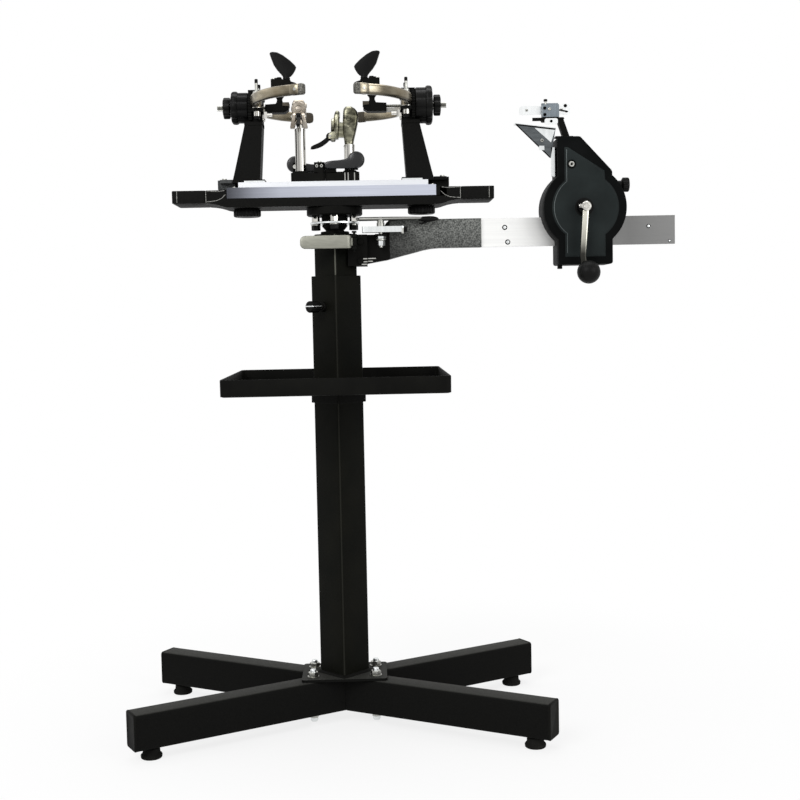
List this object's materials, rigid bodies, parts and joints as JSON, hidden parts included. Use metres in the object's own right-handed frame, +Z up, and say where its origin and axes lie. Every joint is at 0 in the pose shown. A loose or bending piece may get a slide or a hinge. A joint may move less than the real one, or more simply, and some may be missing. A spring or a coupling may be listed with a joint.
{
  "type": "racket stringing machine",
  "caption": "Floor-standing crank stringing machine: four-legged stand, sliding column with tool tray, turntable with mounting towers and string clamps, and a rail-mounted tension head.",
  "frame": {"origin": "On the floor, under the middle of the whole machine's box.", "axes": "+X runs from the stand towards the tension head, +Y away from the operator, +Z up."},
  "size_m": [1.0434, 0.4612, 1.2845],
  "materials": {
    "black_paint": "satin powder coat, fine texture",
    "hammered_paint": "dark grey hammered paint",
    "black_cast": "cast aluminium, black powder coat",
    "bed_aluminium": "brushed, anodised",
    "steel": "brushed, zinc plated",
    "chrome": "polished",
    "satin_gold": "satin champagne nickel",
    "knob_plastic": "moulded, fine grain",
    "housing_plastic": "semi-gloss moulded",
    "foot_rubber": "matt, ribbed"
  },
  "bodies": {
    "stand": {"leg_beam_through": "black_paint", "leg_front_right": "black_paint", "leg_rear_left": "black_paint", "base_plate": "black_paint", "outer_column": "black_paint", "tool_tray": "black_paint"},
    "foot_front_left": {"foot_front_left": "foot_rubber"},
    "foot_front_right": {"foot_front_right": "foot_rubber"},
    "foot_rear_left": {"foot_rear_left": "foot_rubber"},
    "foot_rear_right": {"foot_rear_right": "foot_rubber"},
    "height_lock": {"height_lock_knob": "knob_plastic"},
    "mast": {"inner_column": "black_paint", "bearing_head": "black_paint", "tension_arm": "hammered_paint", "tension_rail": "bed_aluminium"},
    "paddle": {"paddle_lever": "steel"},
    "brake": {"brake_handle": "steel"},
    "turntable": {"brake_disc": "steel", "spindle_hub": "black_paint", "turntable_base": "black_cast", "turntable_bed": "bed_aluminium"},
    "left_tower": {"left_tower": "black_cast", "left_tower_head": "black_cast"},
    "left_table_lock": {"left_table_knob": "knob_plastic"},
    "left_front_arm": {"left_front_arm": "satin_gold"},
    "left_rear_arm": {"left_rear_arm": "satin_gold"},
    "left_drum": {"left_drum_knob": "knob_plastic"},
    "left_support": {"left_centre_support": "black_paint"},
    "left_star": {"left_star_knob": "knob_plastic"},
    "left_hold_down": {"left_hold_down_jaw": "black_paint"},
    "left_leaf": {"left_leaf_knob": "knob_plastic"},
    "right_tower": {"right_tower": "black_cast", "right_tower_head": "black_cast"},
    "right_table_lock": {"right_table_knob": "knob_plastic"},
    "right_front_arm": {"right_front_arm": "satin_gold"},
    "right_rear_arm": {"right_rear_arm": "satin_gold"},
    "right_drum": {"right_drum_knob": "knob_plastic"},
    "right_support": {"right_centre_support": "black_paint"},
    "right_star": {"right_star_knob": "knob_plastic"},
    "right_hold_down": {"right_hold_down_jaw": "black_paint"},
    "right_leaf": {"right_leaf_knob": "knob_plastic"},
    "left_clamp_base": {"left_clamp_base": "black_paint"},
    "left_base_lever": {"left_base_lever": "knob_plastic"},
    "left_clamp_post": {"left_clamp_post": "chrome"},
    "left_clamp_jaw": {"left_clamp_jaw": "satin_gold"},
    "left_clamp_lever": {"left_clamp_lever": "knob_plastic"},
    "right_clamp_base": {"right_clamp_base": "black_paint"},
    "right_base_lever": {"right_base_lever": "knob_plastic"},
    "right_clamp_post": {"right_clamp_post": "chrome"},
    "right_clamp_jaw": {"right_clamp_jaw": "satin_gold"},
    "right_clamp_lever": {"right_clamp_lever": "knob_plastic"},
    "tension_head": {"rear_housing": "housing_plastic", "front_cover": "housing_plastic", "gripper_stand": "black_paint", "gripper_body": "steel", "string_guide": "steel"},
    "crank": {"crank": "chrome"},
    "crank_ball": {"ball_knob": "knob_plastic"},
    "setting": {"setting_knob": "knob_plastic"},
    "gripper_jaw": {"gripper_jaw": "steel"}
  },
  "joints": [
    {"name": "foot_front_left_turn", "type": "hinge", "parent": "stand", "child": "foot_front_left", "pos_m": [-0.47754, -0.19247, 0.01], "axis": [0, 0, 1], "continuous": true},
    {"name": "foot_front_right_turn", "type": "hinge", "parent": "stand", "child": "foot_front_right", "pos_m": [0.21691, -0.19247, 0.01], "axis": [0, 0, 1], "continuous": true},
    {"name": "foot_rear_left_turn", "type": "hinge", "parent": "stand", "child": "foot_rear_left", "pos_m": [-0.47754, 0.19247, 0.01], "axis": [0, 0, 1], "continuous": true},
    {"name": "foot_rear_right_turn", "type": "hinge", "parent": "stand", "child": "foot_rear_right", "pos_m": [0.21691, 0.19247, 0.01], "axis": [0, 0, 1], "continuous": true},
    {"name": "height_lock_turn", "type": "hinge", "parent": "stand", "child": "height_lock", "pos_m": [-0.16709, -0.03677, 0.805], "axis": [-0.7071, -0.7071, 0], "continuous": true},
    {"name": "mast_height", "type": "slide", "parent": "stand", "child": "mast", "axis": [0, 0, 1], "range_m": [-0.012, 0.17]},
    {"name": "paddle_swing", "type": "hinge", "parent": "mast", "child": "paddle", "pos_m": [-0.09332, -0.05, 0.925], "axis": [0, 0, 1], "range_deg": [0, 40]},
    {"name": "brake_swing", "type": "hinge", "parent": "mast", "child": "brake", "pos_m": [-0.04332, -0.026, 0.945], "axis": [0, 0, -1], "range_deg": [0, 14]},
    {"name": "turntable_turn", "type": "hinge", "parent": "mast", "child": "turntable", "pos_m": [-0.13032, 0, 0.99], "axis": [0, 0, 1], "continuous": true},
    {"name": "left_tower_slide", "type": "slide", "parent": "turntable", "child": "left_tower", "axis": [-1, 0, 0], "range_m": [0, 0.015]},
    {"name": "left_table_lock_turn", "type": "hinge", "parent": "left_tower", "child": "left_table_lock", "pos_m": [-0.29632, 0, 0.985], "axis": [0, 0, 1], "continuous": true},
    {"name": "left_front_arm_swing", "type": "hinge", "parent": "left_tower", "child": "left_front_arm", "pos_m": [-0.27032, -0.029, 1.188], "axis": [0, 0, 1], "range_deg": [-10, 12]},
    {"name": "left_rear_arm_swing", "type": "hinge", "parent": "left_tower", "child": "left_rear_arm", "pos_m": [-0.27032, 0.029, 1.188], "axis": [0, 0, -1], "range_deg": [-10, 12]},
    {"name": "left_drum_turn", "type": "hinge", "parent": "left_tower", "child": "left_drum", "pos_m": [-0.29832, 0, 1.183], "axis": [-1, 0, 0], "range_deg": [-151, 181]},
    {"name": "left_support_slide", "type": "slide", "parent": "left_tower", "child": "left_support", "axis": [-1, 0, 0], "range_m": [-0.0025, 0.008]},
    {"name": "left_star_turn", "type": "hinge", "parent": "left_tower", "child": "left_star", "pos_m": [-0.32832, 0, 1.183], "axis": [-1, 0, 0], "range_deg": [-181, 577]},
    {"name": "left_hold_down_swing", "type": "hinge", "parent": "left_support", "child": "left_hold_down", "pos_m": [-0.22932, 0, 1.224], "axis": [0, 0, -1], "range_deg": [0, 90]},
    {"name": "left_leaf_turn", "type": "hinge", "parent": "left_hold_down", "child": "left_leaf", "pos_m": [-0.21532, 0, 1.239], "axis": [0, 0, 1], "continuous": true},
    {"name": "right_tower_slide", "type": "slide", "parent": "turntable", "child": "right_tower", "axis": [1, 0, 0], "range_m": [-0.009, 0.015]},
    {"name": "right_table_lock_turn", "type": "hinge", "parent": "right_tower", "child": "right_table_lock", "pos_m": [0.03568, 0, 0.985], "axis": [0, 0, 1], "continuous": true},
    {"name": "right_front_arm_swing", "type": "hinge", "parent": "right_tower", "child": "right_front_arm", "pos_m": [0.00968, -0.029, 1.188], "axis": [0, 0, -1], "range_deg": [-10, 12]},
    {"name": "right_rear_arm_swing", "type": "hinge", "parent": "right_tower", "child": "right_rear_arm", "pos_m": [0.00968, 0.029, 1.188], "axis": [0, 0, 1], "range_deg": [-10, 12]},
    {"name": "right_drum_turn", "type": "hinge", "parent": "right_tower", "child": "right_drum", "pos_m": [0.03768, 0, 1.183], "axis": [1, 0, 0], "range_deg": [-151, 181]},
    {"name": "right_support_slide", "type": "slide", "parent": "right_tower", "child": "right_support", "axis": [1, 0, 0], "range_m": [-0.006, 0.02]},
    {"name": "right_star_turn", "type": "hinge", "parent": "right_tower", "child": "right_star", "pos_m": [0.06768, 0, 1.183], "axis": [1, 0, 0], "range_deg": [-434, 1441]},
    {"name": "right_hold_down_swing", "type": "hinge", "parent": "right_support", "child": "right_hold_down", "pos_m": [-0.05432, 0, 1.224], "axis": [0, 0, 1], "range_deg": [0, 90]},
    {"name": "right_leaf_turn", "type": "hinge", "parent": "right_hold_down", "child": "right_leaf", "pos_m": [-0.06832, 0, 1.239], "axis": [0, 0, 1], "continuous": true},
    {"name": "left_clamp_slide", "type": "slide", "parent": "turntable", "child": "left_clamp_base", "axis": [-1, 0, 0], "range_m": [0, 0.005]},
    {"name": "left_base_lever_swing", "type": "hinge", "parent": "left_clamp_base", "child": "left_base_lever", "pos_m": [-0.20432, 0, 1.0735], "axis": [0, -1, 0], "range_deg": [0, 50]},
    {"name": "left_clamp_swivel", "type": "hinge", "parent": "left_clamp_base", "child": "left_clamp_post", "pos_m": [-0.19232, 0, 1.1], "axis": [0, 0, 1], "range_deg": [-18, 50]},
    {"name": "left_jaw_slide", "type": "slide", "parent": "left_clamp_post", "child": "left_clamp_jaw", "axis": [0, 1, 0], "range_m": [0, 0.005]},
    {"name": "left_clamp_lever_swing", "type": "hinge", "parent": "left_clamp_jaw", "child": "left_clamp_lever", "pos_m": [-0.19232, -0.0363, 1.1597], "axis": [-1, 0, 0], "range_deg": [-1, 61]},
    {"name": "right_clamp_slide", "type": "slide", "parent": "turntable", "child": "right_clamp_base", "axis": [1, 0, 0], "range_m": [0, 0.013]},
    {"name": "right_base_lever_swing", "type": "hinge", "parent": "right_clamp_base", "child": "right_base_lever", "pos_m": [-0.08732, 0, 1.0735], "axis": [0, 1, 0], "range_deg": [0, 50]},
    {"name": "right_clamp_swivel", "type": "hinge", "parent": "right_clamp_base", "child": "right_clamp_post", "pos_m": [-0.09932, 0, 1.1], "axis": [0, 0, 1], "range_deg": [-90, 90]},
    {"name": "right_jaw_slide", "type": "slide", "parent": "right_clamp_post", "child": "right_clamp_jaw", "axis": [1, 0, 0], "range_m": [0, 0.005]},
    {"name": "right_clamp_lever_swing", "type": "hinge", "parent": "right_clamp_jaw", "child": "right_clamp_lever", "pos_m": [-0.13562, 0, 1.127], "axis": [0, 1, 0], "range_deg": [-1, 61]},
    {"name": "tension_slide", "type": "slide", "parent": "mast", "child": "tension_head", "axis": [1, 0, 0], "range_m": [-0.06, 0.09]},
    {"name": "crank_turn", "type": "hinge", "parent": "tension_head", "child": "crank", "pos_m": [0.33768, -0.07, 0.981], "axis": [0, 1, 0], "range_deg": [-256, 383]},
    {"name": "crank_ball_spin", "type": "hinge", "parent": "crank", "child": "crank_ball", "pos_m": [0.33768, -0.1, 0.859], "axis": [0, 1, 0], "continuous": true},
    {"name": "setting_turn", "type": "hinge", "parent": "tension_head", "child": "setting", "pos_m": [0.42268, -0.022, 1.025], "axis": [1, 0, 0], "continuous": true},
    {"name": "gripper_close", "type": "slide", "parent": "tension_head", "child": "gripper_jaw", "axis": [0, 1, 0], "range_m": [0, 0.004]}
  ],
  "couplings": [
    {"joint": "left_rear_arm_swing", "follows": "left_front_arm_swing", "ratio": 1},
    {"joint": "left_drum_turn", "follows": "left_front_arm_swing", "ratio": 15},
    {"joint": "left_star_turn", "follows": "left_support_slide", "rad_per_m": 1256.6},
    {"joint": "right_rear_arm_swing", "follows": "right_front_arm_swing", "ratio": 1},
    {"joint": "right_drum_turn", "follows": "right_front_arm_swing", "ratio": 15},
    {"joint": "right_star_turn", "follows": "right_support_slide", "rad_per_m": 1256.6},
    {"joint": "left_clamp_lever_swing", "follows": "left_jaw_slide", "rad_per_m": 209.44},
    {"joint": "right_clamp_lever_swing", "follows": "right_jaw_slide", "rad_per_m": 209.44},
    {"joint": "crank_turn", "follows": "tension_slide", "rad_per_m": 74.074}
  ]
}
